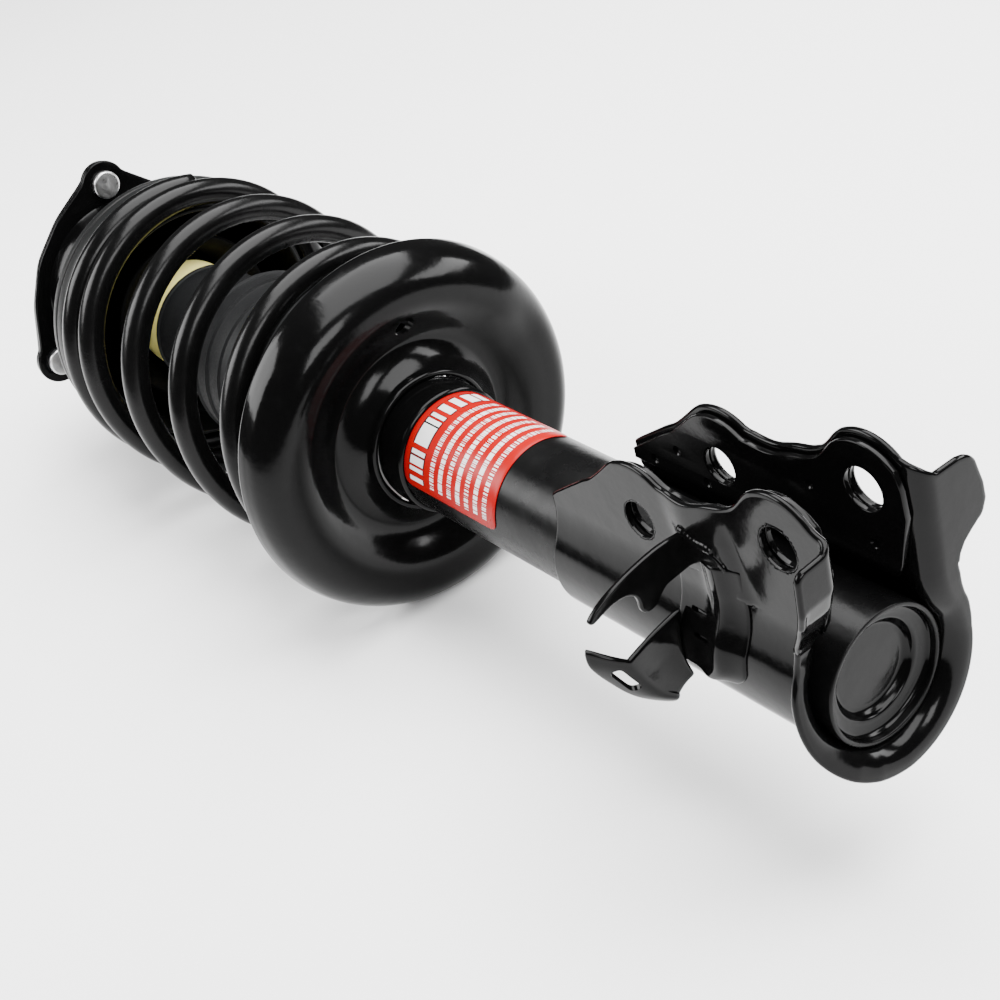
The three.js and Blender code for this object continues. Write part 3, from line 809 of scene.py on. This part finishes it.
def make_wing():
    """The part that stands off: a curved web, a folded flap and an oblong hole for the wire's clip."""
    root = spline([(-28.6, 15.5), (-30.6, 9), (-31.2, 2), (-30.8, -5), (-29.0, -11.8)], 6)
    crease = spline([(-52.6, 9.4), (-51.0, 5.4), (-47.6, -1.6), (-42.6, -9.6), (-36.8, -15.2)], 6)
    outer = spline([(-62.8, 16.6), (-62.2, 10.4), (-57.4, 1.6), (-49.6, -9.0), (-37.4, -18.4)], 6)
    rows = []
    for r, c, o in zip(root, crease, outer):
        row = []
        for t in np.linspace(0, 1, 18):
            sag = 2.6 * math.sin(math.pi * t) * (1 - 0.6 * abs(r[1] - 2) / 14)
            y, z = r + (c - r) * t
            row.append((-56.6 - sag * 0.5, y, z))
        bend = np.linalg.norm(o - c)
        for t in np.linspace(0, 1, 16)[1:]:
            y, z = c + (o - c) * t
            row.append((-56.6 - 0.62 * bend * t ** 1.4 + 0.8 * math.sin(math.pi * t), y, z))
        rows.append(row)
    wing = sheet_from_grid("wing", np.array(rows), 2.2)
    slot = rounded([(-7.0, -2.3), (7.0, -2.3), (7.0, 2.3), (-7.0, 2.3)], 2.2)
    tool = plate("slot_cut", [slot], 22.0, 0.1, Matrix.Identity(4))
    ahead = Vector((0.0, 0.52, -0.854))
    normal = Vector((0.82, -0.50, -0.30)).normalized()
    side = normal.cross(ahead).normalized()
    normal = ahead.cross(side)
    tool.data.transform(Matrix.Translation(Vector((-58.5, -54.2, 1.8)) * MM)
                        @ Matrix((ahead, side, normal)).transposed().to_4x4())
    return cut(wing, tool)


def make_wire_bracket():
    clip = join("wire_clip", [make_saddle(), make_wing()])
    finish_piece(clip, "strut_body", "gloss_black_paint", ["wire_bracket"])


# ---------- lower spring seat ----------

def seat_line():
    return spline([(-246.5, 28.0), (-250.0, 29.2), (-255.4, 33.6), (-258.8, 39.0), (-259.4, 43.0),
                   (-257.6, 48.0), (-253.6, 53.6), (-250.4, 59.0), (-249.6, 64.0), (-250.6, 69.4),
                   (-253.8, 73.8), (-258.6, 76.9), (-263.5, 78.2), (-267.0, 78.6)], 7)


def seat_shape(x, r, angle):
    """The crest rises as a ramp round the seat and falls back in a short step, as the coil's end does."""
    share = (math.degrees(angle) - 40) % 360 / 360
    ramp = share / 0.93 if share < 0.93 else 0.5 + 0.5 * math.cos((share - 0.93) / 0.07 * math.pi)
    weight = math.exp(-((r - 63.0) / 9.0) ** 2)
    return x + (1.6 - 4.2 * ramp) * weight, r


def make_lower_seat():
    line = seat_line()[::-1]
    dish = turned("seat_dish", thick(line, SEAT_SHEET), 216, seat_shape)
    drain = turned("seat_drain", [(-280, 0), (-280, DRAIN_R), (-240, DRAIN_R), (-240, 0)], 32, closed=False)
    drain.data.transform(Matrix.Translation((0, DRAIN_AT[0] * MM, DRAIN_AT[1] * MM)))
    cut(dish, drain)
    finish_piece(dish, "strut_body", "gloss_black_paint", ["spring_seat_lower"])

    collar = rounded([(-248, TUBE_R + 0.2), (-248, 27.4), (-231, 27.4), (-229.8, TUBE_R + 0.2)], 0.8)
    finish_piece(turned("seat_ring", collar), "strut_body", "gloss_black_paint", ["seat_collar"])

    pad = rounded([(-254.9, 59), (-257.6, 59), (-257.6, 71), (-256.4, 71), (-254.9, 68.6)], 0.6)
    finish_piece(turned("seat_pad", pad), "strut_body", "black_rubber", ["spring_pad_lower"])


# ---------- coil spring ----------

def coil_pitch(turn):
    """Rise per turn: close at both ends, open between, and nearly flat over the ground upper tip."""
    def step(low, high):
        t = min(max((turn - low) / (high - low), 0.0), 1.0)
        return t * t * (3 - 2 * t)

    closed, open_pitch = COIL_PITCH
    tip = 0.86 * step(0.0, COIL_TURNS[0])
    return closed * (1 - tip) + (open_pitch - closed) * (step(0.55, 1.15) - step(4.05, 4.7))


def coil_points(count):
    """The middle of the wire, with turn 0 at the top end's X."""
    turns = np.linspace(*COIL_TURNS, count)
    zero = int(np.argmin(abs(turns)))
    step = turns[1] - turns[0]
    rise = np.array([coil_pitch(t) for t in turns]) * step
    x = np.cumsum(rise)
    x = x - x[zero] + COIL_TOP_X
    angle = math.pi + 2 * math.pi * turns
    return np.stack([x, COIL_R * np.cos(angle), COIL_R * np.sin(angle)], 1)


def make_coil():
    path = coil_points(620)
    sides = 28
    along = np.gradient(path, axis=0)
    along /= np.linalg.norm(along, axis=1)[:, None]
    points = []
    for point, way in zip(path, along):
        out = np.array([0.0, point[1], point[2]]) / COIL_R
        side = np.cross(way, out)
        side /= np.linalg.norm(side)
        out = np.cross(side, way)
        for k in range(sides):
            angle = 2 * math.pi * k / sides
            points.append(point + WIRE_R * (math.cos(angle) * out + math.sin(angle) * side))
    faces = tube_faces(len(path), sides)
    for end, way in ((0, -1), (len(path) - 1, 1)):
        previous = [end * sides + k for k in range(sides)]
        for reach, size in ((0.5, 0.92), (0.9, 0.8), (1.1, 0.6)):
            ring = []
            for k in range(sides):
                spoke = points[end * sides + k] - path[end]
                ring.append(len(points))
                points.append(path[end] + spoke * size + along[end] * way * reach)
            faces += band(previous, ring)
            previous = ring
        faces.append(tuple(previous))
    coil = mesh_object("spring_wire", points, faces, 60.0)
    finish_piece(coil, "strut_body", "spring_black", ["coil_spring"])
    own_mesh(coil)


# ---------- label ----------

def make_label():
    radius = TUBE_R + 0.28
    corner = 4.0
    grid = []
    x0, x1 = LABEL_X
    for angle in np.linspace(*LABEL_ANGLES, 90):
        edge = min(angle - LABEL_ANGLES[0], LABEL_ANGLES[1] - angle) * math.pi / 180 * radius
        cut_in = corner - math.sqrt(max(corner ** 2 - max(corner - edge, 0.0) ** 2, 0.0))
        turn = math.radians(angle)
        y, z = radius * math.cos(turn), radius * math.sin(turn)
        grid.append([(x, y, z) for x in np.linspace(x0 + cut_in, x1 - cut_in, 30)])
    film = sheet_from_grid("label_film", np.array(grid), 0.24, 3)
    finish_piece(film, "strut_body", "red_film", ["tube_label"])


# ---------- upper seat and bearing ----------

def make_upper_seat():
    back = PAD_FACE_X - 8
    pad = rounded([(PAD_FACE_X, 69.5, 2.5), (PAD_FACE_X, 59.2, 1.5), (-442, 58.6), (-442, 56.8),
                   (back, 56.6), (back, 64.5), (-476, 64.5), (-476, 67.2, 1.6), (-470.5, 68.2),
                   (-469.3, 66.8), (-468.1, 68.7)], 1.0)
    finish_piece(turned("seat_isolator", pad), "upper_seat", "grey_rubber", ["spring_pad_upper"])

    face = back - 0.3
    line = rounded([(face - 0.2, 64.0), (face - 0.2, 55.5, 4.0), (-488.5, 49.6, 5.0), (-492.4, 45.5, 5.0),
                    (-492.4, 33.6, 4.0), (-467, 32.8, 9.0), (-458, 38.0, 4.0), (-456.6, 41.0)], 3.0,
                   steps=9, closed=False)
    cup = turned("upper_cup", thick(line[::-1], 2.4))
    finish_piece(cup, "upper_seat", "gloss_black_paint", ["spring_seat_upper"], DULL_BLACK)
    lower = rounded([(-500.5, 32), (-500.5, 46), (-494.9, 46), (-494.9, 32)], 1.2)
    finish_piece(turned("race_below", lower), "upper_seat", "race_plastic", ["bearing_race_lower"])


def make_bearing_top():
    cage = rounded([(-504, 36), (-504, 42), (-500.8, 42), (-500.8, 36)], 0.8)
    finish_piece(turned("ball_cage", cage), "top_mount", "zinc", ["bearing_cage"])
    upper = rounded([(-510, 32), (-510, 46), (-504.3, 46), (-504.3, 32)], 1.2)
    finish_piece(turned("race_above", upper), "top_mount", "race_plastic", ["bearing_race_upper"])


# ---------- bump stop and boot ----------

def make_bump_stop():
    bore = ROD_R + 0.3
    top, low = BUMP_STOP_X
    profile = rounded([(low, bore), (low, 24), (-401, 28), (-464, 27.4), (-470, 22), (top, 22),
                       (top, bore)], 3.0)
    stop = turned("foam_stop", profile)
    finish_piece(stop, "top_mount", "cream_foam", ["bump_stop"])
    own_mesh(stop)


def boot_radius(x):
    return np.interp(x, [-438, -408, -400, -384, -372, -296], [30.0, 30.4, 33.0, 39.8, 40.6, 40.9])


def make_boot():
    pitch, fold, half = 11.6, 1.15, 0.5
    outer = []
    for x in np.arange(BOOT_X[0], BOOT_X[1] + 0.1, 0.4):
        nearest = min(max(round((x - BOOT_FIRST_RIB_X) / pitch), 0), 6) * pitch + BOOT_FIRST_RIB_X
        ridge = fold * math.exp(-((x - nearest) / half) ** 2)
        ridge += 0.8 * math.exp(-((x - BOOT_X[0] - 1) / 1.3) ** 4)
        outer.append((x, boot_radius(x) + ridge))
    inner = [(x, r - 1.5) for x, r in outer[::-1]]
    boot = turned("bellows", np.vstack([outer, inner]), 160)
    finish_piece(boot, "top_mount", "boot_rubber", ["dust_boot"])
    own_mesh(boot)


# ---------- top mount ----------

def mount_loop(lobe_r, waist_r):
    """Plate outline in Y and Z: a round lobe at each stud and a shallow waist between them."""
    points = []
    for i, angle in enumerate(STUD_ANGLES):
        following = STUD_ANGLES[(i + 1) % 3] + (360 if i == 2 else 0)
        y = STUD_CIRCLE_R * math.cos(math.radians(angle))
        z = STUD_CIRCLE_R * math.sin(math.radians(angle))
        points += list(circle(y, z, lobe_r, 16, angle - 70, angle + 70))
        for share in (0.28, 0.5, 0.72):
            at = math.radians(angle + (following - angle) * share)
            radius = waist_r + (1.6 if share != 0.5 else 0.0)
            points.append((radius * math.cos(at), radius * math.sin(at)))
    return rounded(points, 5.0, 4)


def stud_places():
    turns = [math.radians(angle) for angle in STUD_ANGLES]
    return [(STUD_CIRCLE_R * math.cos(turn), STUD_CIRCLE_R * math.sin(turn)) for turn in turns]


def make_mount_plates():
    sheet = 2.7
    holes = [circle(y, z, 4.3, 32)[::-1] for y, z in stud_places()]
    loops = [mount_loop(12, 53), circle(0, 0, 45.5, 96)[::-1], *holes]
    inner_lobes = plate("inner_lobes", loops, sheet, 0.7, across_x(MOUNT_FACE_X + sheet / 2))
    line = rounded([(-511.8, 26), (-511.8, 41, 4.0), (-528.4, 45.4, 4.0), (-528.6, 50)], 3.0, closed=False)
    dish = turned("inner_dish", thick(line, 2.4))
    lower = join("mount_lower", [inner_lobes, dish])
    finish_piece(lower, "top_mount", "gloss_black_paint", ["mount_plate_inner"])

    outer = MOUNT_FACE_X - 0.3
    loops = [mount_loop(11.4, 52.2), circle(0, 0, 44, 96)[::-1], *holes]
    outer_lobes = plate("outer_lobes", loops, sheet, 0.7, across_x(outer - sheet / 2))
    line = rounded([(outer - 1.3, 50), (outer - 1.3, 44.2, 4.0), (outer - 16, 37.4, 6.0),
                    (outer - 18.6, 21.5)], 3.0, closed=False)
    dome = turned("outer_dome", thick(line, 2.4))
    upper = join("mount_upper", [outer_lobes, dome])
    finish_piece(upper, "top_mount", "gloss_black_paint", ["mount_plate_outer"])


def make_mount_centre():
    sleeve, bore = 11.5, ROD_THREAD_R + 0.3
    profile = rounded([(-546, bore), (-546, sleeve), (-511.3, sleeve), (-511.3, bore)], 0.6)
    finish_piece(turned("inner_sleeve", profile, 64), "top_mount", "steel", ["mount_sleeve"])
    block = rounded([(-513.8, sleeve + 0.2), (-513.8, 38.4), (-529.6, 41.8), (-542, 34.4), (-545, 20),
                     (-545, sleeve + 0.2)], 2.5)
    finish_piece(turned("rubber_block", block), "top_mount", "black_rubber", ["mount_rubber"])
    washer = rounded([(-549, bore), (-549, 17), (-546.3, 17), (-546.3, bore)], 0.7)
    finish_piece(turned("nut_washer", washer, 64), "top_mount", "zinc", ["rod_washer"])
    finish_piece(hex_nut("top_nut", -560, -549.3, 22, bore, 0, 0), "top_mount", "black_zinc", ["rod_nut"])


def hex_nut(name, x0, x1, across_flats, bore, y, z):
    """A chamfered hexagon nut along X with a plain bore."""
    corner = across_flats / math.sqrt(3)
    steps = 72
    xs = [x0, x0, x0 + 1.2, x1 - 1.2, x1, x1]
    points = []
    for k in range(steps):
        angle = 2 * math.pi * k / steps
        sector = (angle % (math.pi / 3)) - math.pi / 6
        flat = across_flats / 2 / math.cos(sector)
        face_r = min(flat, across_flats / 2 * 1.02)
        radii = [bore, face_r, flat, flat, face_r, bore]
        for x, r in zip(xs, radii):
            points.append((x, y + r * math.cos(angle), z + r * math.sin(angle)))
    return mesh_object(name, points, turned_faces(len(xs), steps), 28.0)


def threaded(name, x0, x1, radius, y, z, pitch=1.25):
    """A bar with rolled thread grooves along X and chamfered ends."""
    depth = pitch * 0.28
    profile = [(x0, 0), (x0, radius - 1.2), (x0 + 1.0, radius - 0.3)]
    for x in np.arange(x0 + 1.5, x1 - 1.0, pitch / 4):
        wave = 0.5 + 0.5 * math.cos(2 * math.pi * x / pitch)
        profile.append((x, radius - depth * wave))
    profile += [(x1, radius), (x1, 0)]
    bar = turned(name, profile, 40, closed=False, sharp=60)
    bar.data.transform(Matrix.Translation((0, y * MM, z * MM)))
    return bar


def make_studs():
    head_x = MOUNT_FACE_X + 2.9
    nut_x = MOUNT_FACE_X - 3.3
    for i, (y, z) in enumerate(stud_places(), 1):
        top = head_x + 3.1
        side = rounded([(head_x, 0, 0), (head_x, 7.2), (top, 7.2, 1.1), (top, 0, 0)], 0.4, closed=False)
        head = turned(f"head_{i}", side, 64, closed=False)
        head.data.transform(Matrix.Translation((0, y * MM, z * MM)))
        shank = threaded(f"shank_{i}", STUD_END_X, head_x + 1, 3.95, y, z)
        finish_piece(join(f"stud_{i}", [head, shank]), "top_mount", "zinc", [f"mount_stud_{i}"])

        nut = hex_nut(f"hex_{i}", nut_x - 8, nut_x - 1.6, 13, 4.25, y, z)
        collar = rounded([(nut_x - 2.6, 4.25), (nut_x - 2.6, 7.0), (nut_x - 0.8, 8.9), (nut_x, 8.9),
                          (nut_x, 4.25)], 0.4)
        flange = turned(f"flange_{i}", collar, 60)
        flange.data.transform(Matrix.Translation((0, y * MM, z * MM)))
        finish_piece(join(f"nut_{i}", [nut, flange]), "top_mount", "black_zinc", [f"flange_nut_{i}"])


def make_rod():
    tail_r = ROD_THREAD_R - 0.4
    tip, foot = ROD_X
    bar = rounded([(foot, 0, 0), (foot, ROD_THREAD_R), (-262, ROD_THREAD_R), (-262, ROD_R), (-511, ROD_R),
                   (-511, tail_r), (-552, tail_r)], 0.8, closed=False)
    smooth = turned("rod_bar", np.vstack([bar, [(-552, 0)]]), 96, closed=False)
    thread = threaded("rod_thread", tip, tip + 18, ROD_THREAD_R - 0.1, 0, 0, 1.5)
    finish_piece(join("damper_rod", [smooth, thread]), "top_mount", "chrome", ["piston_rod"])


# ---------- hidden CAD nodes keep their shape and get a finish ----------

def finish_hidden_nodes():
    for row in frame["record"]["subparts"]:
        node = frame["nodes"][row["node"]]
        for i in range(max(1, len(node.material_slots))):
            if i >= len(node.material_slots):
                node.data.materials.append(MATERIALS[row["material_slot"]])
            else:
                node.material_slots[i].material = MATERIALS[row["material_slot"]]


# ---------- floor, lights and camera ----------

CAMERA_AT = (352.4, -312.8, 394.2)
CAMERA_LOOKS_AT = (-180.0, -13.9, 3.3)
CAMERA_RIGHT = (0.5980, 0.7688, -0.2266)
CAMERA_LENS = 66.86


def make_camera():
    at = Vector(CAMERA_AT) * MM
    ahead = (Vector(CAMERA_LOOKS_AT) * MM - at).normalized()
    right = Vector(CAMERA_RIGHT)
    right = (right - ahead * right.dot(ahead)).normalized()
    up = right.cross(ahead)
    data = bpy.data.cameras.new("camera")
    data.lens = CAMERA_LENS
    data.clip_start, data.clip_end = 0.01, 30.0
    camera = bpy.data.objects.new("camera", data)
    turn = Matrix((right, up, -ahead)).transposed().to_4x4()
    camera.matrix_world = Matrix.Translation(at) @ turn
    bpy.context.scene.collection.objects.link(camera)
    bpy.context.scene.camera = camera


def area_light(name, at, towards, size, size_y, power):
    data = bpy.data.lights.new(name, "AREA")
    data.shape = "RECTANGLE"
    data.size = size
    data.size_y = size_y
    data.energy = power
    lamp = bpy.data.objects.new(name, data)
    lamp.location = at
    lamp.rotation_mode = "QUATERNION"
    lamp.rotation_quaternion = (Vector(towards) - Vector(at)).to_track_quat("-Z", "Y")
    bpy.context.scene.collection.objects.link(lamp)


def make_stage():
    low = min(corner[2] for corner in CAD_BOX)
    size = 6.0
    far = size / MM
    corners = [(-far, -far, 0), (far, -far, 0), (far, far, 0), (-far, far, 0)]
    floor = mesh_object("floor", corners, [(0, 1, 2, 3)])
    floor.location.z = low - 0.0005
    n = Nodes("pale floor")
    soft = n.noise(3.0, 2.0)
    n.set(Base_Color=n.mix(soft, grey(0.86), grey(0.90)), Roughness=0.9)
    floor.data.materials.append(n.material)

    world = bpy.data.worlds.new("studio")
    world.use_nodes = True
    background = world.node_tree.nodes["Background"]
    background.inputs["Color"].default_value = (1.0, 1.0, 1.0, 1.0)
    background.inputs["Strength"].default_value = 0.12
    bpy.context.scene.world = world

    middle = (-0.22, 0.0, 0.0)
    area_light("overhead", (-0.15, 0.45, 1.55), middle, 2.2, 1.5, 150)
    area_light("near_side", (-1.25, -1.15, 0.95), middle, 1.1, 0.9, 55)
    area_light("far_strip", (0.35, 1.35, 0.75), middle, 1.3, 0.35, 26)
    area_light("end_fill", (1.5, -0.3, 1.2), middle, 0.9, 0.6, 30)


make_camera()
make_stage()
make_tube()
make_bracket()
make_hose_hook()
make_wire_bracket()
make_lower_seat()
make_coil()
make_label()
make_upper_seat()
make_bearing_top()
make_bump_stop()
make_boot()
make_mount_plates()
make_mount_centre()
make_studs()
make_rod()
finish_hidden_nodes()
